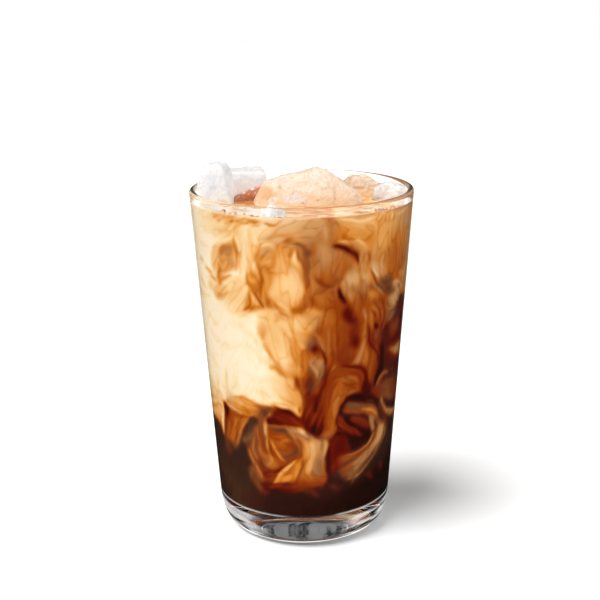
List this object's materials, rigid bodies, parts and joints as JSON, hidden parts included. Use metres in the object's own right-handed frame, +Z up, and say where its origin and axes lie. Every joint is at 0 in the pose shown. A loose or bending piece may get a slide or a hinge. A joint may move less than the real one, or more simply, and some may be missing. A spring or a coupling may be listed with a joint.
{
  "type": "iced latte in a glass",
  "caption": "Iced latte in a clear tapered glass: milk swirling down into dark coffee, with ice standing above the rim.",
  "frame": {"origin": "middle of the glass's base, on the surface it stands on", "axes": "+Z up along the glass's axis, -Y the side that faces the viewer, +X to the viewer's right"},
  "size_m": [0.0848, 0.0848, 0.1444],
  "materials": {
    "glass": "clear pressed glass, fire-polished rim",
    "coffee": "dark liquid coffee",
    "milk": "milk marbled with coffee",
    "ice": "melting, frosted ice"
  },
  "bodies": {
    "root": {"glass": "glass", "coffee": "coffee", "milk": "milk", "ice_1": "ice", "ice_2": "ice", "ice_3": "ice", "ice_4": "ice", "ice_5": "ice", "ice_6": "ice", "ice_7": "ice"}
  },
  "joints": []
}
